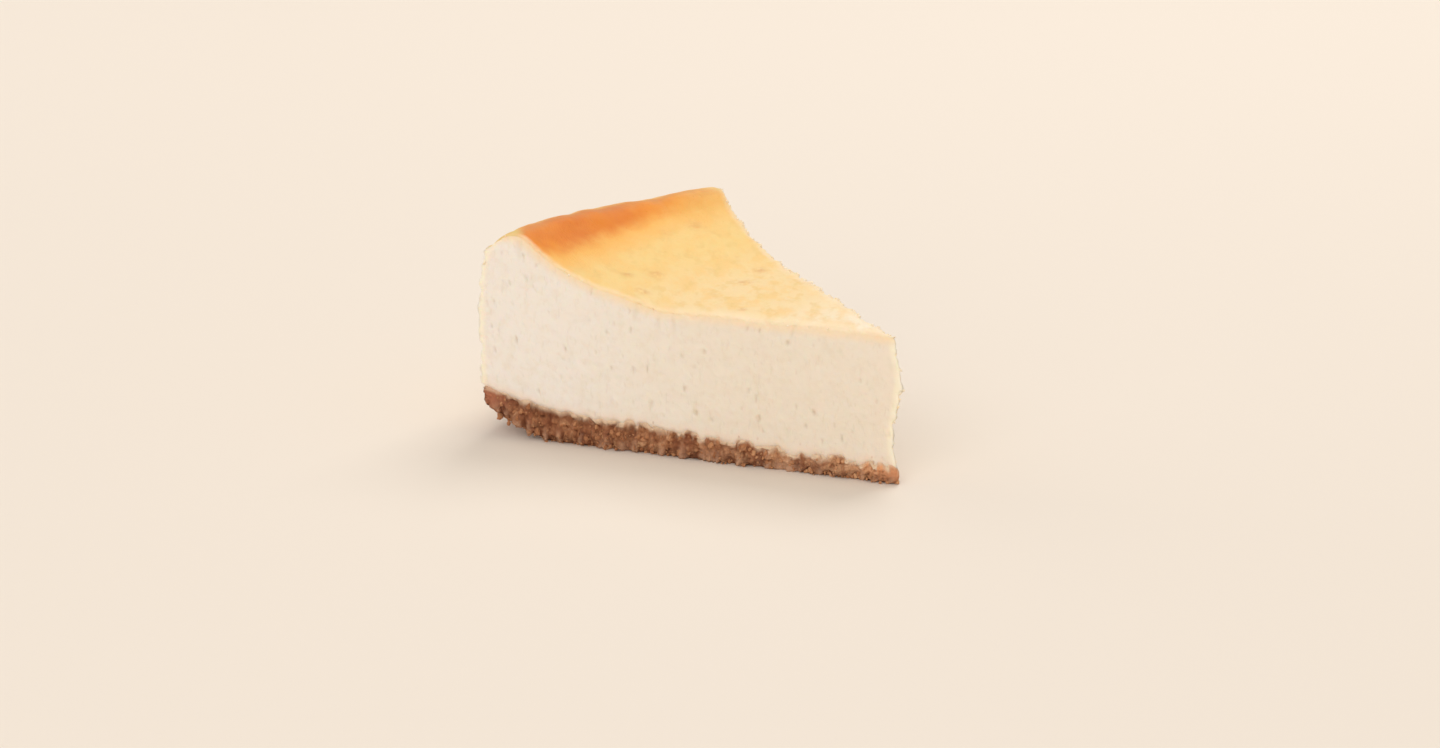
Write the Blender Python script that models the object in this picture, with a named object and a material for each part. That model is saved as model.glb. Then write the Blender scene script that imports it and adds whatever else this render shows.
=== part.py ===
"""A slice of baked cheesecake, one eighth of a small round cake.

The slice stands on its crumb base, with its tip towards +X and the outside of the cake
towards -X. Both layers are a unit prism with three sides, bent to the cake's own section:
a height for each radius, turned about the middle of the cake through the slice's angle.
Lengths are in metres.
"""

import math

import bmesh
import bpy
from mathutils import Vector, noise

MM = 0.001

# The round cake, and the slice cut from it
CAKE_RADIUS = 102 * MM
SLICES_IN_CAKE = 8
SLICE_ANGLE = 2 * math.pi / SLICES_IN_CAKE
CAKE_MIDDLE_X = CAKE_RADIUS / 2
LAYER_GAP = 0.3 * MM

# The baked top: it sank in the middle of the cake and stayed up at the tin's wall.
# The lip is tallest and thickest at the near cut face, and the sunken part slopes up to the far one.
MIDDLE_HEIGHT = 35.0 * MM
SWELL_START = 56 * MM
SWELL_RISE, SWELL_POWER = 9.6 * MM, 1.1
LIP_RADIUS = 93.3 * MM
LIP_RISE = 8.2 * MM
NEAR_LIP_POWER, FAR_LIP_POWER = 5, 11
LIP_ROUNDING = 2.5 * MM
LIP_DROP = 2.5 * MM
FAR_SIDE_RISE, FAR_SIDE_MIDDLE, FAR_SIDE_WIDTH = 1.5 * MM, 44 * MM, 30 * MM
SHOULDER_HEIGHT = 33.5 * MM
SHOULDER_RISE = 16.3 * MM
TOP_EDGE_RADIUS = 98.5 * MM

# The crumb base: thin at the tip, and turned up where it met the corner of the tin
BASE_AT_TIP = 3.9 * MM
BASE_THICKENING = 0.05
BASE_TURN_START = 84 * MM
BASE_TOP_TURN = 3.4 * MM
BASE_FOOT_TURN, BASE_FOOT_TURN_POWER = 6.6 * MM, 1.2

# What the tin, the knife and the crumbs leave on the surface: the height of the waves, and their size
SKIN_WAVE, SKIN_WAVE_SIZE = 0.45 * MM, 17 * MM
WALL_WAVE, WALL_WAVE_SIZE = 0.5 * MM, 12 * MM
CUT_WAVE, CUT_WAVE_SIZE = 0.5 * MM, 26 * MM
CUT_GRAIN, CUT_GRAIN_SIZE = 0.28 * MM, 4.5 * MM
EDGE_CHIP, EDGE_CHIP_SIZE = 0.7 * MM, 6 * MM
SEAM_WAVE, SEAM_WAVE_SIZE = 0.9 * MM, 7 * MM
CRUMB_DEPTH, CRUMB_SIZE, CRUMB_MIDLINE = 2.6 * MM, 3.4 * MM, 0.42
CRUMB_GRAIN, CRUMB_GRAIN_SIZE = 0.5 * MM, 1.4 * MM
CRUMB_FOOT = 0.7 * MM
CRUMB_SHARE_AT_TIP = 0.25

# Each wave has its own place in the noise, so that no two are alike
ON_SKIN, ON_WALL, ON_CUT, IN_GRAIN, IN_CRUMBS, ON_EDGE, ON_SEAM = range(1, 8)
NOISE_STEP = Vector((1, 2.7, -1.3))

# The soft tip of the slice: how far it reaches out, and how it leans out and in on its way up
TIP_FADE = 8 * MM
TIP_REACH = 0.9 * MM
TIP_WOBBLE, TIP_WOBBLE_MIDDLE, TIP_WOBBLE_WAVE = 0.7 * MM, 16 * MM, 25 * MM

# Fineness of the meshes, which are finer where the slice bends more
STEPS, STEPS_CROWDING = 38, 0.35
FILLING_LAYERS = 13
BASE_LAYERS, BASE_SIDE_CUTS = 6, 2
LAYERS_CROWDING = 1.3
TOUCHING = 0.001

UP = Vector((0, 0, 1))
NEAR_CUT_NORMAL = Vector((math.sin(SLICE_ANGLE / 2), -math.cos(SLICE_ANGLE / 2), 0))
FAR_CUT_NORMAL = Vector((math.sin(SLICE_ANGLE / 2), math.cos(SLICE_ANGLE / 2), 0))

FILLING_COLOUR, FILLING_ROUGHNESS = (0.86, 0.76, 0.62, 1), 0.6
CRUMB_COLOUR, CRUMB_ROUGHNESS = (0.42, 0.21, 0.09, 1), 0.9


def clear_scene():
    """Starts from an empty scene."""
    for obj in list(bpy.data.objects):
        bpy.data.objects.remove(obj)


def share(value, start, end):
    """How far value is from start to end, from 0 to 1."""
    return min(1.0, max(0.0, (value - start) / (end - start)))


def smooth_min(a, b, rounding):
    """The smaller of two heights, rounded where they cross."""
    near = max(rounding - abs(a - b), 0) / rounding
    return min(a, b) - near * near * rounding / 4


def top_height(radius, turn):
    """The baked top: flat in the middle, then a swell, a steep lip and a round shoulder."""
    to_far = turn / SLICE_ANGLE + 0.5
    rise = max(0.0, (radius - SWELL_START) / (LIP_RADIUS - SWELL_START))
    lip = rise ** (NEAR_LIP_POWER + to_far * (FAR_LIP_POWER - NEAR_LIP_POWER))
    off_middle = (radius - FAR_SIDE_MIDDLE) / FAR_SIDE_WIDTH
    far_side = FAR_SIDE_RISE * to_far**2 * math.exp(-(off_middle**4))
    inside = MIDDLE_HEIGHT + SWELL_RISE * rise**SWELL_POWER + LIP_RISE * lip + far_side
    down = share(radius, LIP_RADIUS, CAKE_RADIUS)
    shoulder = SHOULDER_RISE - LIP_DROP * math.sin(math.pi / 2 * to_far)
    outside = SHOULDER_HEIGHT + shoulder * math.sqrt(1 - down**2)
    return smooth_min(inside, outside, LIP_ROUNDING)


def wall_radius(height):
    """The outside of the cake: upright, and round at the shoulder."""
    up = share(height, SHOULDER_HEIGHT, SHOULDER_HEIGHT + SHOULDER_RISE)
    return LIP_RADIUS + (CAKE_RADIUS - LIP_RADIUS) * math.sqrt(1 - up**2)


def base_top(radius, turn):
    """The face where the filling meets the crumbs: a plane that turns up at the outside."""
    along = radius * math.cos(turn)
    return BASE_AT_TIP + BASE_THICKENING * along + BASE_TOP_TURN * share(radius, BASE_TURN_START, CAKE_RADIUS)


def filling_foot(radius, turn):
    """The underside of the filling, just off the crumbs."""
    return base_top(radius, turn) + LAYER_GAP


def base_foot(radius, turn):
    """The underside of the crumbs: flat, and turned up at the outside, at every turn alike."""
    return BASE_FOOT_TURN * share(radius, BASE_TURN_START, CAKE_RADIUS) ** BASE_FOOT_TURN_POWER


def wave(point, size, place):
    """Smooth noise from -1 to 1, with bumps of about the given size."""
    return noise.noise(point / size + place * NOISE_STEP)


def crumbs(point):
    """Relief of packed crumbs: round lumps with creases between them, and a finer grain."""
    off_lump = noise.voronoi(point / CRUMB_SIZE)[0][0]
    grain = wave(point, CRUMB_GRAIN_SIZE, IN_CRUMBS)
    return CRUMB_DEPTH * (CRUMB_MIDLINE - off_lump) + CRUMB_GRAIN * grain


def seam(point):
    """How far the seam between the layers wanders up or down where it shows."""
    return UP * SEAM_WAVE * wave(Vector((point.x, point.y, 0)), SEAM_WAVE_SIZE, ON_SEAM)


def is_level(edge):
    """Whether an edge of the upright unit prism lies in one of its layers."""
    return abs(edge.verts[0].co.z - edge.verts[1].co.z) < TOUCHING


def unit_prism(layers, side_cuts=0):
    """A closed prism with three sides and a regular net of triangles on its two ends.

    It returns the mesh and, for each vertex, its way out from the tip, its way across
    from one cut face to the other, and its way up, each from 0 to 1.
    """
    bm = bmesh.new()
    bmesh.ops.create_cone(bm, cap_ends=True, segments=3, radius1=1, radius2=1, depth=1)
    tip, near, far = (v.co.xy for v in bm.verts if v.co.z < 0)
    uprights = [e for e in bm.edges if not is_level(e)]
    bmesh.ops.subdivide_edges(bm, edges=uprights, cuts=layers - 1)
    rings = [e for e in bm.edges if is_level(e)]
    bmesh.ops.subdivide_edges(bm, edges=rings, cuts=STEPS - 1, use_grid_fill=True)
    if side_cuts:
        rings = [e for e in bm.edges if is_level(e) and any(is_side(f) for f in e.link_faces)]
        bmesh.ops.subdivide_edges(bm, edges=rings, cuts=side_cuts)
    to_near, to_far = near - tip, far - tip
    area = to_near.cross(to_far)
    places = {}
    for vert in bm.verts:
        beyond_tip = vert.co.xy - tip
        near_share = beyond_tip.cross(to_far) / area
        far_share = to_near.cross(beyond_tip) / area
        out = min(1.0, near_share + far_share)
        across = far_share / out if out > TOUCHING else 0.5
        places[vert] = out, across, vert.co.z + 0.5
    return bm, places


def is_side(face):
    """Whether a face of the unit prism is on one of its three upright sides."""
    return abs(face.normal.z) < 0.5


def bend_prism(bm, places, foot, top, edge_radius, relief):
    """Moves each vertex of the prism to its place in the slice, then adds its relief."""
    for vert, (out, across, up) in places.items():
        out *= 1 + STEPS_CROWDING * (1 - out)
        up = 1 - (1 - up) ** LAYERS_CROWDING
        turn = (across - 0.5) * SLICE_ANGLE
        low, high = foot(CAKE_RADIUS, turn), top(edge_radius, turn)
        radius = out * wall_radius(low + up * (high - low))
        low, high = foot(out * CAKE_RADIUS, turn), top(out * edge_radius, turn)
        height = low + up * (high - low)
        outward = Vector((-math.cos(turn), math.sin(turn), 0))
        sides = [
            outward if out > 1 - TOUCHING else None,
            NEAR_CUT_NORMAL if across < TOUCHING else None,
            FAR_CUT_NORMAL if across > 1 - TOUCHING else None,
        ]
        point = outward * radius + UP * height
        vert.co = point + tip_lean(point, radius) + relief(point, radius, up, sides)
    bm.normal_update()


def tip_lean(point, radius):
    """The soft tip reaches out, more at some heights than at others."""
    lean = math.sin(2 * math.pi * (point.z - TIP_WOBBLE_MIDDLE) / TIP_WOBBLE_WAVE)
    return Vector(((TIP_REACH + TIP_WOBBLE * lean) * math.exp(-radius / TIP_FADE), 0, 0))


def filling_relief(point, radius, up, sides):
    """Soft waves on the skin and the outside, a knife's drag and chips on the cut faces."""
    outside, *cuts = sides
    on_skin, on_foot = up > 1 - TOUCHING, up < TOUCHING
    fade = share(radius, 0, TIP_FADE)
    move = Vector()
    if on_skin:
        move += UP * SKIN_WAVE * wave(point, SKIN_WAVE_SIZE, ON_SKIN)
    if on_foot and any(sides):
        move += seam(point)
    if outside:
        move += outside * WALL_WAVE * wave(point, WALL_WAVE_SIZE, ON_WALL)
    for cut in filter(None, cuts):
        drag = CUT_WAVE * wave(point, CUT_WAVE_SIZE, ON_CUT)
        grain = CUT_GRAIN * wave(point, CUT_GRAIN_SIZE, IN_GRAIN)
        move += cut * fade * (drag + grain)
        if on_skin:
            chip = EDGE_CHIP * (0.5 + 0.5 * wave(point, EDGE_CHIP_SIZE, ON_EDGE))
            move -= (cut * fade + UP) * chip
    return move


def base_relief(point, radius, up, sides):
    """Crumbs all round, pushed out most at the foot."""
    on_top = up > 1 - TOUCHING
    fade = CRUMB_SHARE_AT_TIP + (1 - CRUMB_SHARE_AT_TIP) * share(radius, 0, TIP_FADE)
    move = Vector()
    for side in filter(None, sides):
        move += side * fade * (crumbs(point) + CRUMB_FOOT * (1 - up) ** 2)
    if on_top and any(sides):
        move += seam(point)
    return move


def food_material(name, colour, roughness):
    """A plain matt finish for one layer."""
    material = bpy.data.materials.new(name)
    material.use_nodes = True
    shader = material.node_tree.nodes["Principled BSDF"]
    shader.inputs["Base Color"].default_value = colour
    shader.inputs["Roughness"].default_value = roughness
    shader.inputs["Metallic"].default_value = 0
    return material


def layer_object(name, bm, material, parent, collection):
    """Makes the finished mesh an object of the slice."""
    mesh = bpy.data.meshes.new(name)
    bm.to_mesh(mesh)
    bm.free()
    mesh.materials.append(material)
    mesh.shade_smooth()
    obj = bpy.data.objects.new(name, mesh)
    obj.parent = parent
    collection.objects.link(obj)


def make_crumb_base(parent, collection):
    """Pressed biscuit crumbs under the whole slice."""
    bm, places = unit_prism(BASE_LAYERS, BASE_SIDE_CUTS)
    bend_prism(bm, places, base_foot, base_top, CAKE_RADIUS, base_relief)
    material = food_material("baked_crumbs", CRUMB_COLOUR, CRUMB_ROUGHNESS)
    layer_object("crumb_base", bm, material, parent, collection)


def make_cheese_filling(parent, collection):
    """The set cheese filling with its baked skin."""
    bm, places = unit_prism(FILLING_LAYERS)
    bend_prism(bm, places, filling_foot, top_height, TOP_EDGE_RADIUS, filling_relief)
    material = food_material("set_cheese", FILLING_COLOUR, FILLING_ROUGHNESS)
    layer_object("cheese_filling", bm, material, parent, collection)


def main():
    clear_scene()
    collection = bpy.data.collections.new("cheesecake_slice")
    bpy.context.scene.collection.children.link(collection)
    cake_middle = bpy.data.objects.new("cake_middle", None)
    cake_middle.location = (CAKE_MIDDLE_X, 0, 0)
    collection.objects.link(cake_middle)
    make_crumb_base(cake_middle, collection)
    make_cheese_filling(cake_middle, collection)


main()
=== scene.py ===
import math
import random

import bmesh
import bpy
from mathutils import Matrix, Vector, noise


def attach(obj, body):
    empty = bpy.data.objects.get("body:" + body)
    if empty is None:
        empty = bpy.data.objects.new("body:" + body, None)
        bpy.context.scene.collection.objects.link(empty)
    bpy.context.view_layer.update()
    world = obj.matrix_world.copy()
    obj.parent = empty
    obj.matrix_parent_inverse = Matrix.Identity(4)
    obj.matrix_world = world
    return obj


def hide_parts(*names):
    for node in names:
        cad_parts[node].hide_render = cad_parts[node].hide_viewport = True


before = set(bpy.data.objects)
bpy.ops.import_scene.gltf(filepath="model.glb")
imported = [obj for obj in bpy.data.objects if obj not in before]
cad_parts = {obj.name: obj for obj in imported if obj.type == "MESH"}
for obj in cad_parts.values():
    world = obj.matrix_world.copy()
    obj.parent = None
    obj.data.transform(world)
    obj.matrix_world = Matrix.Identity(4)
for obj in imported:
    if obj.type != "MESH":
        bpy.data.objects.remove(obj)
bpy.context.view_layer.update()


# The crumb base.
# Biscuit crumbs bound with butter, pressed into the tin and baked under the filling.
# The knife left broken crumbs on its sides, and the tin's corner turned its outer edge up.
MM = 0.001
UP = Vector((0, 0, 1))
CAKE_RADIUS = 102 * MM
SLICE_ANGLE = math.radians(45)
CAKE_MIDDLE = Vector((CAKE_RADIUS / 2, 0, 0))
NEAR_CUT_NORMAL = Vector((math.sin(SLICE_ANGLE / 2), -math.cos(SLICE_ANGLE / 2), 0))
FAR_CUT_NORMAL = Vector((math.sin(SLICE_ANGLE / 2), math.cos(SLICE_ANGLE / 2), 0))
TOUCHING = 0.0001
BASE_AT_TIP = 3.9 * MM
BASE_THICKENING = 0.05
BASE_TURN_START = 84 * MM
BASE_TOP_TURN = 3.4 * MM
BASE_FOOT_TURN, BASE_FOOT_TURN_POWER = 6.6 * MM, 1.2
SEAM_WANDER = 0.8 * MM, 7 * MM, 7
SEAM_SMEAR, SMEAR_LEAST = (1.0 * MM, 2.0 * MM, 8), 0.5
SEAM_REACH = 2.6 * MM
SEAM_DROP_MOST = 2.0 * MM
SEAM_OVERLAP, SEAM_TUCK = 0.9 * MM, 1.8 * MM
FINGER_DEPTH, FINGER_SPACING, FINGER_WIDTH = 2.2 * MM, 3.6 * MM, 0.32
FINGER_LEAST, FINGER_MEAN = 0.3, 0.12
FINGERS_FULL, FINGERS_END, FINGERS_OUTSIDE = 55 * MM, 85 * MM, 0.2
FINGER_SINK = 0.5 * MM
HIDDEN_SHARE, HIDDEN_HEIGHT = 0.7, 4 * MM
CRUMB_DEPTH, CRUMB_SIZE, CRUMB_LEAST = 1.4 * MM, 3.0 * MM, 0.35
SMALL_CRUMB_DEPTH, SMALL_CRUMB_SIZE = 0.9 * MM, 1.4 * MM
CRUMB_SINK = 0.65 * MM
CREASE_WIDTH = 0.3
TEAR, TEAR_STRETCH = (0.75 * MM, 1.7 * MM, 9), 3.5
CRUMB_GRAIN = 0.25 * MM, 0.8 * MM, 5
CALM_START, CALM = 88 * MM, 0.2
WALL_TUCK = 0.9 * MM
CORNER_ROUNDING, CORNER_LEAST = 1.1 * MM, 0.3
UNDERCUT, UNDERCUT_DEPTH, UNDERCUT_REACH = 0.5 * MM, 2.4 * MM, 1.2 * MM
UNDERCUT_START, UNDERCUT_FULL = 40 * MM, 65 * MM
FOOT_SPREAD = 0.7 * MM
FOOT_LIFT, FOOT_LIFT_FADE = 1.7 * MM, 1.9 * MM
FOOT_GAP_SIZE, FOOT_GAP_PLACE = 1.5 * MM, 11
GAP_START, GAP_FULL = 0.2, 1.0
TOOTH_END, TOOTH_REACH = 0.5, 2.4 * MM
FOOT_BREAK, FOOT_BREAK_RADIUS, FOOT_BREAK_WIDTH = 1.9 * MM, 96.5 * MM, 2.2 * MM
CRUMB_SHARE_AT_TIP = 0.5
TIP_FADE = 8 * MM
TIP_REACH = 0.9 * MM
TIP_BULGE, TIP_BULGE_REACH = 0.9 * MM, 2.5 * MM
TIP_WOBBLE, TIP_WOBBLE_MIDDLE, TIP_WOBBLE_WAVE = 0.7 * MM, 16 * MM, 25 * MM
BASE_STEPS, BASE_LAYERS = 210, 18
NOISE_STEP = Vector((1, 2.7, -1.3))
LUCK_STEP = 97


def share(value, start, end):
    """How far value is from start to end, from 0 to 1."""
    return min(1.0, max(0.0, (value - start) / (end - start)))


def from_least(least, value):
    """The least where value is 0, rising to 1 where value is 1."""
    return least + (1 - least) * value


def nearness(distance, reach):
    """1 at a distance of 0, dying away over the reach."""
    return math.exp(-distance / reach)


def bell(value, middle, width):
    """1 in the middle, dying away on both sides."""
    return math.exp(-(((value - middle) / width) ** 2))


def wave(point, size, place):
    """Smooth noise from -1 to 1, with bumps of the given size, from a place in the noise."""
    return noise.noise(point / size + place * NOISE_STEP)


def swing(point, amount, size, place):
    """The same noise as a distance, from minus the amount to the amount."""
    return amount * wave(point, size, place)


def flat(point):
    """The point's place in plan."""
    return Vector((point.x, point.y, 0))


def base_top(radius, turn):
    """The face where the filling meets the crumbs: a plane that turns up at the outside."""
    plane = BASE_AT_TIP + BASE_THICKENING * radius * math.cos(turn)
    return plane + BASE_TOP_TURN * share(radius, BASE_TURN_START, CAKE_RADIUS)


def crumbs_top(radius, turn):
    """The top of the crumbs, which reach a little way up behind the face of the filling."""
    return base_top(radius, turn) + SEAM_OVERLAP


def base_foot(radius, turn):
    """The underside of the crumbs: flat, and turned up at the outside, at every turn alike."""
    return BASE_FOOT_TURN * share(radius, BASE_TURN_START, CAKE_RADIUS) ** BASE_FOOT_TURN_POWER


def upright_wall(height):
    """The outside of the cake below the shoulder."""
    return CAKE_RADIUS


def luck_at(place):
    """A number from 0 to 1 that is the same for every point of one crumb."""
    return 0.5 + 0.5 * noise.cell(place * LUCK_STEP)


def finger(place):
    """How far the filling reaches down between two lumps, from 0 to 1, and the lump's luck."""
    distances, middles = noise.voronoi(place / FINGER_SPACING)
    narrow = 1 - share(distances[1] - distances[0], 0, FINGER_WIDTH)
    luck = 0.5 * (luck_at(middles[0]) + luck_at(middles[1]))
    inside = from_least(FINGERS_OUTSIDE, share(place.length, FINGERS_END, FINGERS_FULL))
    return narrow * from_least(FINGER_LEAST, luck) * inside, luck_at(middles[0] + UP)


def seam(point, distance):
    """How far the seam between the layers wanders up or down, and what lies near it goes along."""
    place = flat(point)
    near_tip = share(place.length, FINGERS_END, FINGERS_FULL)
    smear = swing(place, *SEAM_SMEAR) * from_least(SMEAR_LEAST, near_tip)
    drop = FINGER_DEPTH * (finger(place)[0] - FINGER_MEAN * near_tip)
    wander = max(swing(place, *SEAM_WANDER) + smear - drop, -SEAM_DROP_MOST)
    return UP * wander * nearness(distance, SEAM_REACH)


def tuck(distance):
    """How far a layer is drawn in behind the other, by the distance from its hidden border."""
    return SEAM_TUCK * (1 - share(distance, 0, 2 * SEAM_OVERLAP)) ** 2


def rubble(point, size):
    """Broken crumbs, from 0 to 1: each stands out by its own amount, with creases between."""
    distances, middles = noise.voronoi(point / size)
    crease = share(distances[1] - distances[0], 0, CREASE_WIDTH)
    return from_least(CRUMB_LEAST, luck_at(middles[0])) * crease, luck_at(middles[0] + UP)


def tip_lean(point, radius):
    """The soft tip reaches out, more at some heights than at others."""
    lean = math.sin(2 * math.pi * (point.z - TIP_WOBBLE_MIDDLE) / TIP_WOBBLE_WAVE)
    return Vector(((TIP_REACH + TIP_WOBBLE * lean) * nearness(radius, TIP_FADE), 0, 0))


def is_level(edge):
    """Whether an edge of the upright unit prism lies in one of its layers."""
    return abs(edge.verts[0].co.z - edge.verts[1].co.z) < TOUCHING


def slice_layer(steps, layers, hidden_end, foot, top, edge_radius, wall, relief, marks):
    """A layer of the slice: a finely divided prism with three sides, bent to the cake's section.

    The end that lies on the other layer, 1 for the top and -1 for the foot, slopes inwards to
    one plain face deep inside the slice.
    relief(spot) returns how far the surface is moved at a spot, and fills in its marks.
    """
    bm = bmesh.new()
    bmesh.ops.create_cone(bm, cap_ends=True, segments=3, radius1=1, radius2=1, depth=1)
    tip, near, far = (v.co.xy for v in bm.verts if v.co.z < 0)
    uprights = [e for e in bm.edges if not is_level(e)]
    bmesh.ops.subdivide_edges(bm, edges=uprights, cuts=layers - 1)
    rings = [e for e in bm.edges if is_level(e)]
    bmesh.ops.subdivide_edges(bm, edges=rings, cuts=steps - 1, use_grid_fill=True)
    hidden = [f for f in bm.faces if all(v.co.z * hidden_end > 0.5 - TOUCHING for v in f.verts)]
    plain = bmesh.ops.dissolve_faces(bm, faces=hidden)["region"]
    drawn_in = bmesh.ops.extrude_face_region(bm, geom=plain)["geom"]
    bmesh.ops.delete(bm, geom=plain, context="FACES_ONLY")
    deep = {g for g in drawn_in if isinstance(g, bmesh.types.BMVert)}
    for vert in deep:
        vert.co.xy *= HIDDEN_SHARE
    to_near, to_far = near - tip, far - tip
    area = to_near.cross(to_far)
    mark_layers = {name: bm.verts.layers.float.new(name) for name in marks}
    for vert in bm.verts:
        beyond_tip = vert.co.xy - tip
        near_share = beyond_tip.cross(to_far) / area
        far_share = to_near.cross(beyond_tip) / area
        out = min(1.0, near_share + far_share)
        across = far_share / out if out > TOUCHING else 0.5
        up = vert.co.z + 0.5
        turn = (across - 0.5) * SLICE_ANGLE
        low, high = foot(CAKE_RADIUS, turn), top(edge_radius, turn)
        radius = out * wall(low + up * (high - low))
        low, high = foot(out * CAKE_RADIUS, turn), top(out * edge_radius, turn)
        outward = Vector((-math.cos(turn), math.sin(turn), 0))
        point = outward * radius + UP * (low + up * (high - low))
        spot = {
            "point": point,
            "radius": radius,
            "across": across,
            "up": up,
            "outward": outward,
            "nearest_cut": NEAR_CUT_NORMAL if across < 0.5 else FAR_CUT_NORMAL,
            "on_wall": out > 1 - TOUCHING,
            "on_cut": min(across, 1 - across) < TOUCHING,
            "from_cut": radius * math.sin(SLICE_ANGLE / 2 - abs(turn)),
            "from_wall": wall(point.z) - radius,
            "from_top": high - point.z,
            "from_foot": point.z - low,
        }
        vert.co = CAKE_MIDDLE + point + tip_lean(point, radius) + relief(spot)
        if vert in deep:
            vert.co.z = HIDDEN_HEIGHT
        for name, layer in mark_layers.items():
            vert[layer] = spot[name]
    bm.normal_update()
    return bm


def as_piece(name, bm, material, node, smooth=True):
    """Makes a finished mesh a piece of the slice, standing for a layer of the model."""
    mesh = bpy.data.meshes.new(name)
    bm.to_mesh(mesh)
    bm.free()
    if smooth:
        mesh.shade_smooth()
    mesh.materials.append(material)
    piece = bpy.data.objects.new(name, mesh)
    bpy.context.scene.collection.objects.link(piece)
    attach(piece, "root")
    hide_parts(node)
    return piece


def crumb_relief(point):
    """How far the torn side of the base stands out at a point, and the luck of the crumb there."""
    crumb, luck = rubble(point, CRUMB_SIZE)
    small_crumb, small_luck = rubble(point, SMALL_CRUMB_SIZE)
    rough = CRUMB_DEPTH * crumb + SMALL_CRUMB_DEPTH * small_crumb + swing(point, *CRUMB_GRAIN)
    rough += swing(Vector((point.x, point.y, point.z / TEAR_STRETCH)), *TEAR)
    return rough - CRUMB_SINK, 0.5 * (luck + small_luck)


def rounded_base(spot):
    """The base's outer corners are rounded, most at the foot, and its tip bulges."""
    corner = nearness(max(spot["from_wall"], spot["from_cut"]), 2 * CORNER_ROUNDING)
    corner *= from_least(CORNER_LEAST, nearness(spot["from_foot"], FOOT_LIFT_FADE))
    rounding = CORNER_ROUNDING * (1 - spot["up"]) * corner
    bulge = math.sin(math.pi * spot["up"]) - (1 - spot["up"]) ** 4
    at_tip = TIP_BULGE * bulge * nearness(spot["radius"], TIP_BULGE_REACH)
    return Vector((at_tip, 0, 0)) - (spot["outward"] + spot["nearest_cut"]) * rounding


def ragged_foot(spot):
    """How far the foot is broken away upwards, and how much of a tooth is left there, which the material
    paints pale as a highlight.
    """
    gap = 0.5 + wave(flat(spot["point"]), FOOT_GAP_SIZE, FOOT_GAP_PLACE)
    lift = FOOT_LIFT * share(gap, GAP_START, GAP_FULL)
    if spot["across"] < TOUCHING:
        lift += FOOT_BREAK * bell(spot["radius"], FOOT_BREAK_RADIUS, FOOT_BREAK_WIDTH)
    tooth = (1 - share(gap, GAP_START, TOOTH_END)) * bell(spot["from_foot"], 0, TOOTH_REACH)
    return lift * nearness(spot["from_foot"], FOOT_LIFT_FADE), tooth


def base_relief(spot):
    """Crumbs all round, torn on the cut faces and pressed flatter by the tin on the outside."""
    point, up, radius, outward = spot["point"], spot["up"], spot["radius"], spot["outward"]
    spot["crag"], spot["tint"] = 0.5, 0.5
    spot["below_seam"] = (spot["from_top"] - SEAM_OVERLAP) / MM
    spot["near_tip"] = 1 - radius / CAKE_RADIUS
    spot["low"] = 1 - up
    spot["tooth"], spot["finger"], spot["lump"] = 0.0, 0.0, 0.5
    move = rounded_base(spot)
    if not (spot["on_wall"] or spot["on_cut"]):
        return move - outward * WALL_TUCK * nearness(spot["from_wall"], 2 * WALL_TUCK)
    rough, spot["tint"] = crumb_relief(point)
    # The crag mark later paints the raised crumbs lighter and the hollows between them darker: painted
    # light and shade over the relief.
    spot["crag"] = share(rough, -CRUMB_SINK, CRUMB_DEPTH)
    rough *= 1 - CALM * share(radius, CALM_START, CAKE_RADIUS)
    spot["finger"], spot["lump"] = finger(flat(point))
    rough -= FINGER_SINK * spot["finger"]
    undercut = UNDERCUT * share(radius, UNDERCUT_START, UNDERCUT_FULL)
    rough -= undercut * bell(spot["from_top"], UNDERCUT_DEPTH, UNDERCUT_REACH)
    tucked = tuck(spot["from_top"])
    rough -= rough * tucked / SEAM_TUCK + tucked
    at_tip = from_least(CRUMB_SHARE_AT_TIP, share(radius, 0, TIP_FADE))
    move.x -= (1 - at_tip) * tucked
    if spot["on_wall"]:
        move += outward * (rough - WALL_TUCK)
    if spot["on_cut"]:
        move += spot["nearest_cut"] * at_tip * (rough + FOOT_SPREAD * (1 - up) ** 2)
    lift, spot["tooth"] = ragged_foot(spot)
    return move + UP * lift + seam(point, spot["from_top"]) * up


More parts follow.
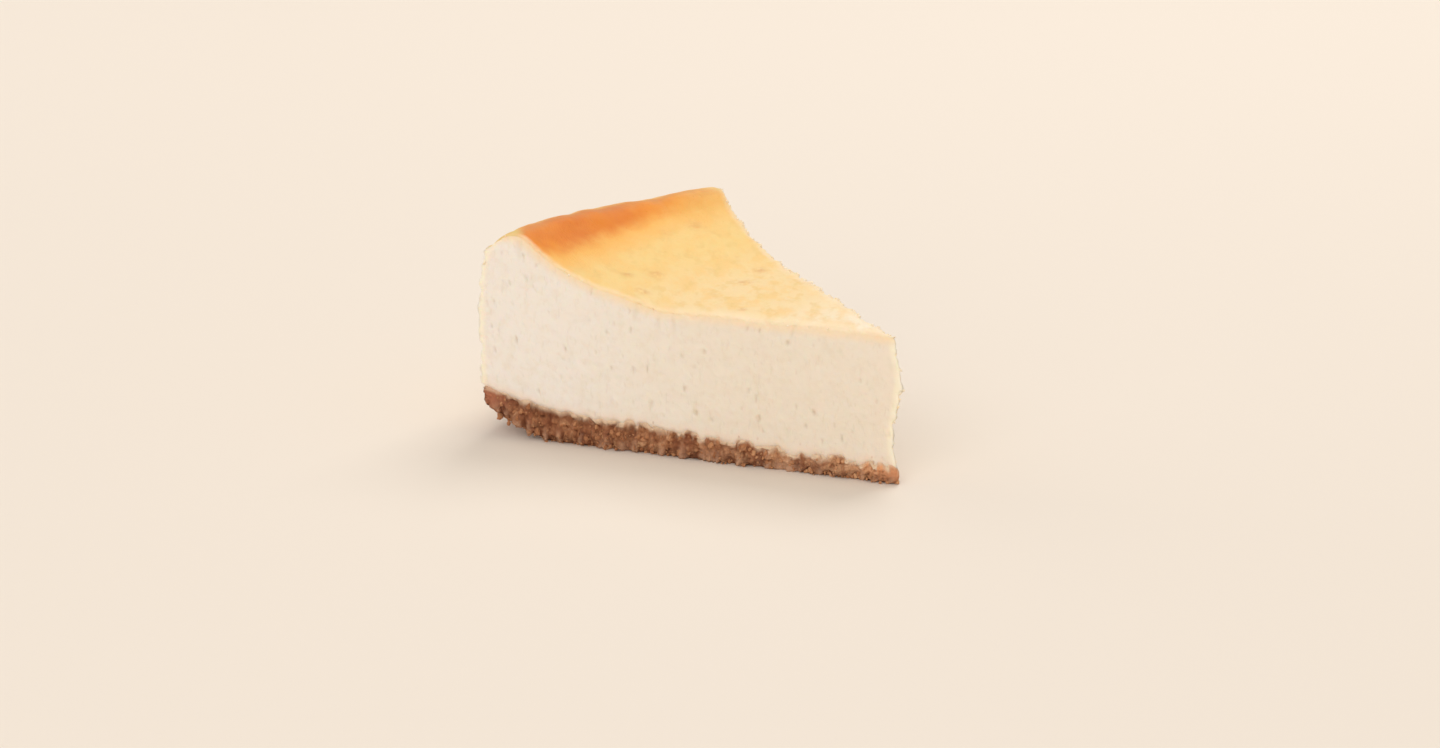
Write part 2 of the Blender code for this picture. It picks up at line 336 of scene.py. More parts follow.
class Socket:
    """An output in a material's node tree. Python's operators add its Math nodes."""

    def __init__(self, tree, output=None):
        self.tree = tree
        self.output = output

    def node(self, kind, settings, inputs, output=0):
        """Adds a node: first its settings, then the values or links of its sockets."""
        node = self.tree.nodes.new(kind)
        for name, value in settings.items():
            if name == "stops":
                stops = node.color_ramp.elements
                while len(stops) < len(value):
                    stops.new(1)
                for stop, (position, shade) in zip(stops, value):
                    stop.position = position
                    stop.color = shade
            else:
                setattr(node, name, value)
        for name, value in inputs.items():
            if isinstance(value, Socket):
                self.tree.links.new(value.output, node.inputs[name])
            else:
                node.inputs[name].default_value = value
        return Socket(self.tree, node.outputs[output])

    def math(self, operation, first, second=0.0):
        return self.node("ShaderNodeMath", {"operation": operation}, {0: first, 1: second})

    def __add__(self, other):
        return self.math("ADD", self, other)

    def __sub__(self, other):
        return self.math("SUBTRACT", self, other)

    def __mul__(self, other):
        return self.math("MULTIPLY", self, other)

    def __truediv__(self, other):
        return self.math("DIVIDE", self, other)

    def __pow__(self, other):
        return self.math("POWER", self, other)

    def __radd__(self, other):
        return self.math("ADD", other, self)

    def __rsub__(self, other):
        return self.math("SUBTRACT", other, self)

    def __rmul__(self, other):
        return self.math("MULTIPLY", other, self)

    def step(self, start, end):
        """A soft step from 0 to 1 as this value goes from start to end."""
        inputs = {"Value": self, "From Min": start, "From Max": end}
        return self.node("ShaderNodeMapRange", {"interpolation_type": "SMOOTHSTEP"}, inputs)

    def mix(self, colour, other):
        """The colour where this value is 0, and the other where it is 1."""
        settings = {"data_type": "RGBA", "clamp_factor": True}
        return self.node("ShaderNodeMix", settings, {0: self, 6: colour, 7: other}, 2)

    def ramp(self, *stops):
        """A colour for each value, from stops of a position and a colour."""
        return self.node("ShaderNodeValToRGB", {"stops": stops}, {"Fac": self})

    def attribute(self, name):
        return self.node("ShaderNodeAttribute", {"attribute_name": name}, {}, "Fac")

    def place(self, stretch=(1, 1, 1), shift=(0, 0, 0), turn=0.0):
        """The place on the object in millimetres, turned, and divided by a stretch along each axis."""
        inputs = {
            "Vector": self.node("ShaderNodeTexCoord", {}, {}, "Object"),
            "Location": [s * MM for s in shift],
            "Rotation": (0, 0, turn),
            "Scale": [s * MM for s in stretch],
        }
        return self.node("ShaderNodeMapping", {"vector_type": "TEXTURE"}, inputs)

    def cloud(self, size, detail=3.0, roughness=0.55, stretch=(1, 1, 1), shift=(0, 0, 0), turn=0.0):
        """Soft noise around 0.5 with patches of the given size in millimetres."""
        inputs = {
            "Vector": self.place(stretch, shift, turn),
            "Scale": 1 / size,
            "Detail": detail,
            "Roughness": roughness,
        }
        return self.node("ShaderNodeTexNoise", {}, inputs, "Fac")

    def cells(self, size, output, feature="F1", stretch=(1, 1, 1)):
        """A field of cells of the given size: the distance to each middle, or a colour for each."""
        inputs = {"Vector": self.place(stretch), "Scale": 1 / size}
        return self.node("ShaderNodeTexVoronoi", {"feature": feature}, inputs, output)


def colour(red, green, blue):
    """A colour from its three parts out of 255, as a screen shows it."""
    parts = [c / 255 for c in (red, green, blue)]
    return (*[p / 12.92 if p < 0.04045 else ((p + 0.055) / 1.055) ** 2.4 for p in parts], 1)


def new_finish(name, **uniform):
    """A material and its tree. What is the same all over is set on the shader's own sockets."""
    material = bpy.data.materials.new(name)
    material.use_nodes = True
    shader = material.node_tree.nodes["Principled BSDF"]
    for socket, value in uniform.items():
        shader.inputs[socket.replace("_", " ")].default_value = value
    return material, Socket(material.node_tree), shader


def lay_on(tree, shader, base_colour, roughness, relief, height, strength=1.0):
    """Links what changes over the surface: its colour, its roughness and its fine relief."""
    inputs = {"Height": relief, "Distance": height, "Strength": strength}
    bump = tree.node("ShaderNodeBump", {}, inputs)
    links = tree.tree.links
    links.new(base_colour.output, shader.inputs["Base Color"])
    links.new(roughness.output, shader.inputs["Roughness"])
    links.new(bump.output, shader.inputs["Normal"])


CRUMB_BODY = {
    "Specular_IOR_Level": 0.25,
    "Subsurface_Weight": 0.08,
    "Subsurface_Radius": (1.0, 0.45, 0.2),
    "Subsurface_Scale": 1.2 * MM,
}
CRUMB_SHADES = (
    (0.16, colour(96, 50, 30)),
    (0.36, colour(150, 96, 62)),
    (0.58, colour(184, 128, 89)),
    (0.8, colour(226, 174, 130)),
)


def baked_crumbs_finish():
    """Toasted crumbs with pale upright strokes and a smear of cream; painted shade darkens the creases,
    the band under the seam and the foot, and a painted highlight pales the teeth.
    """
    material, tree, shader = new_finish("baked_crumbs", **CRUMB_BODY)
    below_seam = tree.attribute("below_seam")
    near_tip = tree.attribute("near_tip")
    low = tree.attribute("low")
    grain = tree.cloud(0.4, 4.0)
    stroke = tree.cloud(1.6, 1.0, stretch=(1, 1, 3.2), shift=(4, 2, 6)).step(0.38, 0.6)

    # The crag term paints crumbs that stand out lighter and the hollows darker: painted light and shade.
    # Tint, grain and the broad cloud are the crumbs' own tones.
    shade = 0.26 * tree.attribute("crag") + 0.12 * tree.attribute("tint") + 0.16 * grain
    shade = shade + 0.4 * tree.cloud(3.5, 2.0, shift=(7, 3, 1)) - 0.14
    shade = shade + 0.26 * tree.attribute("lump") * (0.4 + 0.6 * near_tip.step(0.25, 0.5))
    shade = shade + (0.1 + 0.12 * below_seam.step(1.0, 4.5)) * stroke + 0.2 * near_tip.step(0.6, 0.95)
    paint = shade.ramp(*CRUMB_SHADES)

    toasted = tree.cloud(6.0, 2.0, stretch=(1, 1, 0.7), shift=(1, 5, 2)).step(0.42, 0.6)
    paint = (0.55 * toasted).mix(paint, colour(138, 78, 52))
    away_from_tip = 1 - near_tip.step(0.15, 0.5)
    # Painted shadow under the overhanging filling, away from the tip, together with crumbs soaked darker
    # there.
    seam_shadow_and_soak = (1 - below_seam.step(1.2, 3.6)) * away_from_tip
    paint = (0.5 * seam_shadow_and_soak).mix(paint, colour(112, 62, 38))
    crease = tree.cells(0.9, "Distance", "DISTANCE_TO_EDGE", (1, 1, 1.6)).step(0.0, 0.1)
    # Painted shade in the creases between the small crumbs.
    paint = (0.3 * (1 - crease)).mix(paint, colour(98, 54, 34))
    paint = (0.65 * (1 - near_tip.step(0.02, 0.1))).mix(paint, colour(196, 127, 97))
    paint = (0.6 * near_tip.step(0.88, 0.98)).mix(paint, colour(234, 160, 112))

    # Painted shade at the foot, deepest in patches between the teeth, where the slice meets the floor.
    gap = tree.cloud(1.8, 1.0, shift=(3, 8, 5)).step(0.36, 0.62)
    painted_foot_shade = low.step(0.45, 0.95) * (0.3 + 0.4 * gap + 0.12 * near_tip.step(0.4, 0.6))
    paint = painted_foot_shade.mix(paint, colour(104, 60, 36))
    # Painted highlight on the teeth at the foot, crumbs catching the light.
    paint = (0.6 * tree.attribute("tooth")).mix(paint, colour(218, 172, 140))

    between_lumps = tree.attribute("finger")
    pale = between_lumps.step(0.3, 0.8) * (1 - low.step(0.6, 1.0))
    paint = (0.35 * pale).mix(paint, colour(214, 166, 132))
    dab = tree.cloud(2.2, 1.0, stretch=(1, 1, 2.4), shift=(9, 1, 3)).step(0.46, 0.58)
    smear = 0.5 * dab * (1 - 0.6 * away_from_tip) * (1 - below_seam.step(0.6, 2.6))
    smear = smear + (1 - below_seam.step(-0.3, 1.6 - 0.9 * near_tip.step(0.3, 0.6)))
    smear = smear + between_lumps.step(0.1, 0.5) * (1 - below_seam.step(0.4, 2.0))
    paint = (0.85 * smear).mix(paint, colour(234, 205, 174))
    relief = 0.6 * grain + 0.25 * crease + 0.15 * stroke
    lay_on(tree, shader, paint, 0.75 + 0.2 * grain, relief, 0.3 * MM, 0.7)
    return material


baked_crumbs = baked_crumbs_finish()
base_mesh = slice_layer(
    steps=BASE_STEPS,
    layers=BASE_LAYERS,
    hidden_end=1,
    foot=base_foot,
    top=crumbs_top,
    edge_radius=CAKE_RADIUS,
    wall=upright_wall,
    relief=base_relief,
    marks=("crag", "tint", "below_seam", "near_tip", "tooth", "finger", "lump", "low"),
)
as_piece("crumb_base_pressed", base_mesh, baked_crumbs, "crumb_base")


# The loose crumbs of the base.
# Grains that broke off under the knife and stuck to the sides of the base, most of them
# at its foot. Each is an angular splinter of biscuit, drawn out upwards by the cut.
LOOSE_CRUMBS = 1200
LOOSE_LEAST, LOOSE_MOST = 0.2 * MM, 0.7 * MM
SPLINTER_WIDTHS, SPLINTER_LOWEST, SPLINTER_TALLEST = (0.6, 1.2), 0.8, 1.5
SPLINTER_UPRIGHT, SPLINTER_JITTER = 3, 0.4
WALL_SHARE, CORNER_MARGIN = 0.15, 0.04
TOWARDS_WALL, TOWARDS_FOOT = 0.8, 1.8
BARE_TOP = 0.9 * MM
DEEPEST, SHALLOWEST = -0.4, 0.3
FLOOR_CLEARANCE, LOWEST_MIDDLE = 0.02 * MM, 0.9
PALER_AT_TIP, PALER_REACH = 0.5, (5 * MM, 45 * MM)
crumb_luck = random.Random(7)


def splinter(bm, middle, size, tallest, luck):
    """One angular crumb of 20 faces."""
    new = bmesh.ops.create_icosphere(bm, subdivisions=1, radius=size)["verts"]
    angle = luck.uniform(0, math.tau)
    axis = Vector((luck.random(), luck.random(), SPLINTER_UPRIGHT))
    turn = Matrix.Rotation(angle, 3, axis)
    stretch = [luck.uniform(*SPLINTER_WIDTHS), luck.uniform(*SPLINTER_WIDTHS)]
    stretch = Vector((*stretch, luck.uniform(SPLINTER_LOWEST, tallest)))
    for vert in new:
        jitter = luck.uniform(1 - SPLINTER_JITTER, 1 + SPLINTER_JITTER)
        vert.co = middle + turn @ (vert.co * stretch) * jitter
    return new


def side_spot(luck):
    """A random spot on the sides of the base, more often low down: a point, and the way out."""
    if luck.random() < WALL_SHARE:
        turn = luck.uniform(CORNER_MARGIN - 0.5, 0.5 - CORNER_MARGIN) * SLICE_ANGLE
        radius = CAKE_RADIUS
        out = Vector((-math.cos(turn), math.sin(turn), 0))
    else:
        side = luck.choice((-1, 1))
        turn = side * SLICE_ANGLE / 2
        radius = CAKE_RADIUS * (1 - CORNER_MARGIN) * luck.random() ** TOWARDS_WALL
        out = NEAR_CUT_NORMAL if side < 0 else FAR_CUT_NORMAL
    point = Vector((-math.cos(turn) * radius, math.sin(turn) * radius, 0))
    low = base_foot(radius, turn)
    high = base_top(radius, turn) + seam(point, 0).z - BARE_TOP
    point.z = low + luck.random() ** TOWARDS_FOOT * (high - low)
    return point + tip_lean(point, radius), out, radius


crumb_mesh = bmesh.new()
tone = crumb_mesh.verts.layers.float.new("tone")
for _ in range(LOOSE_CRUMBS):
    size = LOOSE_LEAST + (LOOSE_MOST - LOOSE_LEAST) * crumb_luck.random() ** 2
    point, out, radius = side_spot(crumb_luck)
    at_tip = from_least(CRUMB_SHARE_AT_TIP, share(radius, 0, TIP_FADE))
    calm = 1 - CALM * share(radius, CALM_START, CAKE_RADIUS)
    depth = at_tip * crumb_relief(point)[0] * calm
    if radius == CAKE_RADIUS:
        depth -= WALL_TUCK
    depth += crumb_luck.uniform(DEEPEST, SHALLOWEST) * size
    middle = CAKE_MIDDLE + point + out * depth
    middle.z = max(middle.z, size * LOWEST_MIDDLE)
    shade = crumb_luck.random() + PALER_AT_TIP * (1 - share(radius, *PALER_REACH))
    for vert in splinter(crumb_mesh, middle, size, SPLINTER_TALLEST, crumb_luck):
        vert.co.z = max(vert.co.z, FLOOR_CLEARANCE)
        vert[tone] = shade


def loose_crumbs_finish():
    """The same crumbs, with one shade for each grain."""
    material, tree, shader = new_finish("loose_crumbs", **CRUMB_BODY)
    grain = tree.cloud(0.45)
    shade = 0.28 + 0.22 * tree.attribute("tone") + 0.26 * grain
    lay_on(tree, shader, shade.ramp(*CRUMB_SHADES), 0.75 + 0.2 * grain, grain, 0.25 * MM, 0.7)
    return material


loose_crumbs = loose_crumbs_finish()
as_piece("crumb_base_loose_crumbs", crumb_mesh, loose_crumbs, "crumb_base", False)


# The cheese filling.
# Cream cheese and egg, baked until set: dense and cream-coloured inside, with a thin
# browned skin on top that sank in the middle and kept its height at the tin's wall.
MIDDLE_HEIGHT = 35.0 * MM
SWELL_START = 56 * MM
SWELL_RISE, SWELL_POWER = 9.6 * MM, 1.1
LIP_RADIUS = 93.3 * MM
LIP_RISE = 8.2 * MM
NEAR_LIP_POWER, FAR_LIP_POWER = 5, 11
LIP_ROUNDING = 2.5 * MM
LIP_DROP = 2.5 * MM
FAR_SIDE_RISE, FAR_SIDE_MIDDLE, FAR_SIDE_WIDTH = 1.5 * MM, 44 * MM, 30 * MM
SHOULDER_HEIGHT = 33.5 * MM
SHOULDER_RISE = 16.3 * MM
TOP_EDGE_RADIUS = 98.5 * MM
SEAM_BULGE, SEAM_BULGE_REACH = 0.3 * MM, 2 * MM
SKIN_WAVE = 0.45 * MM, 17 * MM, 1
SKIN_DIMPLE = 0.14 * MM, 3.2 * MM, 10
WALL_WAVE = 0.5 * MM, 12 * MM, 2
WALL_GRAIN = 0.2 * MM, 2.0 * MM, 9
CUT_WAVE = 0.5 * MM, 26 * MM, 3
CUT_GRAIN = 0.28 * MM, 4.5 * MM, 4
CUT_TEXTURE = 0.11 * MM, 1.3 * MM, 12
DRAG, DRAG_STRETCH = (0.1 * MM, 1.6 * MM, 14), 6
PORE_DEPTH, PORE_SIZE, PORE_PLACE, PORE_STRETCH = 0.5 * MM, 1.0 * MM, 7, 2.4
PORE_LEVEL, PORE_FULL = 0.5, 0.8
NOTCH_SIZE, NOTCH_PLACE, NOTCH_STRETCH, NOTCH_FADE = 1.7 * MM, 9, 5, 4.5 * MM
NOTCH_LEVEL, NOTCH_FULL = 0.3, 0.75
LIP_CRAG, LIP_REACH = (0.5 * MM, 6 * MM, 6), 6 * MM
LIP_STEP, LIP_STEP_START, LIP_STEP_END = 1.2 * MM, 0.745, 0.81
EDGE_ROUNDING, EDGE_ROUNDING_SPREAD = 0.5 * MM, 2
EDGE_CHIP, EDGE_CHIP_SIZE, EDGE_CHIP_PLACE = 0.7 * MM, 6 * MM, 6
EDGE_TEETH = 0.45 * MM, 1.3 * MM, 9
EDGE_CRAG = 0.5 * MM, 3.1 * MM, 10
EDGE_BUMP, EDGE_BUMP_SIZE, EDGE_BUMP_PLACE = 1.2 * MM, 4.2 * MM, 8
EDGE_BUMP_LEVEL, EDGE_BUMP_FULL = 0.25, 0.6
EDGE_REACH = 1.2 * MM
CRUMBLE_UP = 0.6
NEAR_CRUMBLE, NEAR_CRUMBLE_END = 0.4, 0.3
WALL_EDGE_CRUMBLE = 0.3
TIP_SWAY, TIP_SWAY_MIDDLE, TIP_SWAY_WAVE = 0.45 * MM, 19 * MM, 24 * MM
TIP_RAGGED = 1.3
EDGE_HIGHLIGHT_START, EDGE_HIGHLIGHT_END = 0.4 * MM, 1.7 * MM
FOLLOW = 3 * MM
FRECKLE_RISE = 0.15 * MM
FRECKLES = (
    (67.4, 0.35, 1.7),
    (71.4, 0.24, 1.4),
    (64.1, 0.14, 1.5),
    (52.8, 0.66, 2.0),
    (39.4, 0.2, 1.2),
    (83.6, 0.8, 2.0),
    (82.5, 0.65, 1.3),
    (87.5, 0.34, 0.9),
    (41.3, 0.98, 1.7),
    (58.0, 0.85, 1.4),
)
FILLING_STEPS, FILLING_LAYERS = 240, 80
VIEW_TURN = math.radians(134)
EDGE_NARROW = 0.35


def smooth_min(a, b, rounding):
    """The smaller of two heights, rounded where they cross."""
    near = max(rounding - abs(a - b), 0) / rounding
    return min(a, b) - near * near * rounding / 4


def top_height(radius, turn):
    """The baked top: flat in the middle, then a swell, a steep lip and a round shoulder."""
    to_far = turn / SLICE_ANGLE + 0.5
    rise = max(0.0, (radius - SWELL_START) / (LIP_RADIUS - SWELL_START))
    lip = rise ** (NEAR_LIP_POWER + to_far * (FAR_LIP_POWER - NEAR_LIP_POWER))
    off_middle = (radius - FAR_SIDE_MIDDLE) / FAR_SIDE_WIDTH
    far_side = FAR_SIDE_RISE * to_far**2 * math.exp(-(off_middle**4))
    inside = MIDDLE_HEIGHT + SWELL_RISE * rise**SWELL_POWER + LIP_RISE * lip + far_side
    down = share(radius, LIP_RADIUS, CAKE_RADIUS)
    shoulder = SHOULDER_RISE - LIP_DROP * math.sin(math.pi / 2 * to_far)
    outside = SHOULDER_HEIGHT + shoulder * math.sqrt(1 - down**2)
    return smooth_min(inside, outside, LIP_ROUNDING)


def shoulder_wall(height):
    """The outside of the cake: upright, and round at the shoulder."""
    up = share(height, SHOULDER_HEIGHT, SHOULDER_HEIGHT + SHOULDER_RISE)
    return LIP_RADIUS + (CAKE_RADIUS - LIP_RADIUS) * math.sqrt(1 - up**2)


def filling_foot(radius, turn):
    """The underside of the filling, which reaches a little way down behind the crumbs."""
    return base_top(radius, turn) - SEAM_OVERLAP


def rounded_edge(point, cut, distance):
    """The way that the soft edge between the skin and a cut face is rounded off and chipped."""
    depth = EDGE_ROUNDING + EDGE_CHIP * (0.5 + 0.5 * wave(point, EDGE_CHIP_SIZE, EDGE_CHIP_PLACE))
    return -(cut + UP) * depth * nearness(distance, EDGE_ROUNDING_SPREAD * depth)


def crumble(point, edge_distance, across):
    """How far soft crumbs stand out or are missing near a cut edge, less on the near side."""
    teeth = swing(point, *EDGE_TEETH) + swing(point, *EDGE_CRAG)
    bump = wave(point, EDGE_BUMP_SIZE, EDGE_BUMP_PLACE)
    teeth += EDGE_BUMP * share(bump, EDGE_BUMP_LEVEL, EDGE_BUMP_FULL)
    ragged = from_least(NEAR_CRUMBLE, share(across, 0, NEAR_CRUMBLE_END))
    return ragged * teeth * nearness(edge_distance, EDGE_REACH)


def pore(point, radius, from_top):
    """How much of a hole there is at a spot of a cut face, from 0 to 1.

    The holes are small and drawn out upwards by the knife, and longer near the skin.
    """
    field = wave(Vector((point.x, point.y, point.z / PORE_STRETCH)), PORE_SIZE, PORE_PLACE)
    along = wave(Vector((radius, 0, point.z / NOTCH_STRETCH)), NOTCH_SIZE, NOTCH_PLACE)
    notch = share(along, NOTCH_LEVEL, NOTCH_FULL) * bell(from_top, 0, NOTCH_FADE)
    return max(share(field, PORE_LEVEL, PORE_FULL), notch)


def freckle(radius, across):
    """How much of a browned spot there is on the skin, from 0 to 1."""
    amount = 0.0
    for freckle_radius, freckle_across, size in FRECKLES:
        beside = (across - freckle_across) * SLICE_ANGLE * freckle_radius
        amount = max(amount, bell(radius / MM, freckle_radius, size) * bell(beside, 0, size))
    return amount


def skin_relief(point, radius, across):
    """How far the skin is raised: soft waves, dimples and browned spots, and a craggy lip."""
    rise = swing(point, *SKIN_WAVE) + swing(point, *SKIN_DIMPLE) + FRECKLE_RISE * freckle(radius, across)
    step = LIP_STEP * (share(across, LIP_STEP_START, LIP_STEP_END) - 0.5)
    return rise + bell(radius, LIP_RADIUS, LIP_REACH) * (swing(point, *LIP_CRAG) + step)


def wall_relief(point):
    """How far the outside stands out, pressed against the tin in soft waves."""
    return swing(point, *WALL_WAVE) + swing(point, *WALL_GRAIN)


def cut_relief(point, radius, fade):
    """How far a cut face stands out: broad waves, the drag of the knife and the grain."""
    broad = swing(point, *CUT_WAVE) + swing(point, *CUT_GRAIN)
    drag = swing(Vector((radius, 0, point.z / DRAG_STRETCH)), *DRAG)
    return broad * fade + drag + swing(point, *CUT_TEXTURE)


def filling_relief(spot):
    """Soft waves and dimples on the skin, and on the cut faces drag, pores and a crumbly edge.

    Near an edge each face follows the relief of the face beyond it.
    """
    point, radius, across, outward = spot["point"], spot["radius"], spot["across"], spot["outward"]
    from_cut, from_wall, from_top = spot["from_cut"], spot["from_wall"], spot["from_top"]
    from_foot, cut = spot["from_foot"], spot["nearest_cut"]
    on_skin, on_wall, on_cut = spot["up"] > 1 - TOUCHING, spot["on_wall"], spot["on_cut"]
    fade = share(radius, 0, TIP_FADE)
    soft_cut = cut * fade
    from_edge = from_cut if on_skin or on_wall else min(from_top, from_wall, radius)
    spot["edge"] = from_edge / MM
    spot["skin"], spot["wall"] = float(on_skin), float(on_wall)
    spot["above_seam"] = (from_foot - SEAM_OVERLAP) / MM
    spot["under_skin"] = from_top / MM
    spot["hole"], spot["spot"], spot["strip"] = 0.0, 0.0, 0.0
    move = UP * skin_relief(point, radius, across) * nearness(from_top, FOLLOW)
    move += outward * wall_relief(point) * nearness(from_wall, FOLLOW)
    move += cut * cut_relief(point, radius, fade) * nearness(from_cut, FOLLOW)
    if on_skin:
        spot["spot"] = freckle(radius, across)
        move += rounded_edge(point, soft_cut, from_cut)
        move += (soft_cut + UP * CRUMBLE_UP) * crumble(point, from_cut, across)
    if on_wall or on_cut:
        move += seam(point, from_foot)
    if on_wall:
        move -= outward * tuck(from_foot)
        if not on_skin:
            move += (cut + outward) * crumble(point, from_cut, max(across, WALL_EDGE_CRUMBLE))
    if on_cut:
        spot["hole"] = pore(point, radius, from_top)
        bulge = SEAM_BULGE * nearness(from_foot, SEAM_BULGE_REACH)
        move += soft_cut * (bulge - tuck(from_foot)) - cut * PORE_DEPTH * spot["hole"]
        move.x -= (1 - fade) * tuck(from_foot)
        if not on_skin:
            # A band along the upright edges at the tip and at the outer wall, painted paler as a
            # highlight where the edges catch the light.
            spot["strip"] = 1 - share(min(from_wall, radius), EDGE_HIGHLIGHT_START, EDGE_HIGHLIGHT_END)
            move += rounded_edge(point, soft_cut, from_top)
            move += (soft_cut + UP * CRUMBLE_UP) * crumble(point, from_top, across)
            if not on_wall:
                move += (cut + outward) * crumble(point, from_wall, max(across, WALL_EDGE_CRUMBLE))
    sway = TIP_SWAY * math.sin(2 * math.pi * (point.z - TIP_SWAY_MIDDLE) / TIP_SWAY_WAVE)
    move.x += TIP_RAGGED * crumble(point, radius, 1) + sway * nearness(radius, TIP_FADE)
    return move


def set_cheese_finish():
    """Cream cut faces with faint pores, and a golden skin browned along the lip."""
    material, tree, shader = new_finish(
        "set_cheese",
        Specular_IOR_Level=0.22,
        Subsurface_Weight=0.25,
        Subsurface_Radius=(1.0, 0.55, 0.3),
        Subsurface_Scale=2.5 * MM,
    )
    skin = tree.attribute("skin")
    wall = tree.attribute("wall")
    above_seam = tree.attribute("above_seam")
    edge = tree.attribute("edge")
    hole = tree.attribute("hole")
    spot = tree.attribute("spot")
    coordinates = tree.node("ShaderNodeTexCoord", {}, {}, "Object")
    split = tree.node("ShaderNodeSeparateXYZ", {}, {0: coordinates}, "X")
    inward = CAKE_MIDDLE.x - split
    sideways = Socket(tree.tree, split.output.node.outputs["Y"])
    radius = (inward * inward + sideways * sideways) ** 0.5 / MM
    across = tree.math("ARCTAN2", sideways, inward) / SLICE_ANGLE + 0.5

    patches = tree.cloud(9, 2.0)
    mottle = tree.cloud(2.4, 4.0, shift=(3, 1, 7))
    flecks = tree.cloud(0.8, 1.0, stretch=(1, 1, 2.6), shift=(5, 9, 2)).step(0.56, 0.78)
    # Paler towards the outer wall and yellower towards the tip: partly the cream's own tone, partly
    # painted light that brightens the outer end of each cut face.
    cream = (radius + 24 * patches).step(40, 110).mix(colour(239, 227, 209), colour(243, 235, 225))
    cream = (0.3 * mottle.step(0.45, 0.75)).mix(cream, colour(231, 214, 190))
    # The flecks are the cream's own tone; the pores are darkened with painted shade inside the holes.
    cream = (0.1 * flecks + 0.45 * hole).mix(cream, colour(200, 178, 148))
    cream = (0.45 * (1 - above_seam.step(0.2, 2.8))).mix(cream, colour(243, 214, 192))
    crumb_specks = 1 - tree.cells(1.5, "Distance", stretch=(1, 1, 1.5)).step(0.12, 0.24)
    crumb_specks = crumb_specks * tree.cloud(3.0, 2.0, shift=(2, 2, 8)).step(0.45, 0.6)
    crumb_specks = crumb_specks * (1 - above_seam.step(0.4, 2.8))
    cream = (0.45 * crumb_specks).mix(cream, colour(188, 138, 102))
    pale_rim = (1 - (edge + mottle).step(0.6, 2.6)) * (1 - wall)
    cream = (0.55 * pale_rim).mix(cream, colour(250, 234, 204))
    # Painted highlight along the upright edges at the tip and at the outer wall.
    cream = (0.6 * tree.attribute("strip")).mix(cream, colour(255, 244, 222))
    under_skin = tree.attribute("under_skin")
    just_below = 1 - (under_skin + 1.2 * mottle).step(0.8, 4.0)
    cream = (0.8 * just_below).mix(cream, colour(247, 221, 185))

    wall_tint = tree.cloud(5, 4.0, stretch=(1, 1, 1.6)).step(0.3, 0.7)
    wall_tint = wall_tint.mix(colour(246, 228, 188), colour(240, 214, 168))
    cream = (wall * 0.8 * edge.step(0.0, 1.6)).mix(cream, wall_tint)
    gold_reach = under_skin + 5 * tree.cloud(6, 3.0, stretch=(1, 1, 1.4), shift=(7, 2, 2))
    wall_gold = wall * (1 - gold_reach.step(1.5, 7.5)) * edge.step(0.0, 1.6)
    cream = (0.9 * wall_gold).mix(cream, colour(238, 204, 138))

    golden = radius.step(2, 40).mix(colour(247, 234, 212), colour(245, 216, 163))
    golden = radius.step(50, 75).mix(golden, colour(244, 209, 136))
    ripe = tree.cloud(5, 3.0, stretch=(1.5, 1, 1), shift=(2, 8, 4), turn=VIEW_TURN).step(0.42, 0.66)
    golden = (0.5 * ripe).mix(golden, colour(245, 199, 120))
    dull = tree.cloud(3.2, 3.0, stretch=(1.5, 1, 1), shift=(8, 3, 1), turn=VIEW_TURN).step(0.5, 0.68)
    golden = (0.4 * dull).mix(golden, colour(232, 194, 120))
    blotch = spot * tree.cloud(1.6, 3.0, shift=(6, 6, 3)).step(0.3, 0.6)
    golden = (0.5 * blotch).mix(golden, colour(212, 150, 88))
    wander = 5 * tree.cloud(7, 3.0, shift=(1, 4, 6)) - 2.5
    browning = radius + wander - 5 * across.step(0.3, 0.95) - 1.5 * (1 - across.step(0.0, 0.15))
    to_far_corner = across.step(0.6, 1.0)
    glow = browning.step(75, 85) * (1 - 0.45 * to_far_corner)
    golden = glow.mix(golden, colour(249, 185, 90))
    strong = browning.step(82.5, 87.5) * (1 - 0.95 * to_far_corner)
    deeper = across.step(0.08, 0.3) * (1 - across.step(0.45, 0.7))
    browned = 0.8 * tree.cloud(8, 2.0).step(0.3, 0.7) + 0.6 * deeper
    browned = browned.mix(colour(240, 147, 44), colour(227, 128, 38))
    golden = strong.mix(golden, browned)
    crest = (radius + 2 * mottle).step(91.5, 94.5)
    golden = (crest * 0.5).mix(golden, colour(206, 142, 92))
    over_shoulder = (radius + 2 * mottle + 3 * (1 - edge.step(1, 9))).step(94.5, 98)
    shoulder = across.step(0.02, 0.2).mix(colour(226, 197, 120), colour(240, 203, 134))
    golden = (over_shoulder * 0.85).mix(golden, shoulder)
    pale_reach = (7.5 - 4 * radius.step(55, 80)) * (1 - 0.35 * across.step(0.5, 0.9))
    pale_edge = (1 - (edge + 2.4 * mottle).step(1.2, pale_reach)) * (1 - 0.7 * strong)
    pale_edge = pale_edge * (0.6 - 0.05 * across.step(0.3, 0.7)) * (1 - 0.7 * over_shoulder)
    pale_edge = pale_edge * (1 - 0.6 * radius.step(40, 65) * (1 - across.step(0.1, 0.4)))
    golden = pale_edge.mix(golden, colour(249, 232, 200))
    at_cut = (1 - (edge + 1.2 * mottle).step(0.8, 3.4)) * (1 - 0.7 * over_shoulder)
    cut_edge = radius.step(30, 60).mix(colour(247, 223, 188), colour(249, 218, 174))
    golden = (0.8 * at_cut).mix(golden, cut_edge)

    paint = skin.mix(cream, golden)
    grain = tree.cloud(0.45, 3.0)
    roughness = skin * (-0.1) + 0.62 + 0.12 * grain
    relief = 0.35 * grain + 0.4 * mottle + 0.3 * (1 - flecks)
    lay_on(tree, shader, paint, roughness, relief, 0.25 * MM, 0.7)
    return material


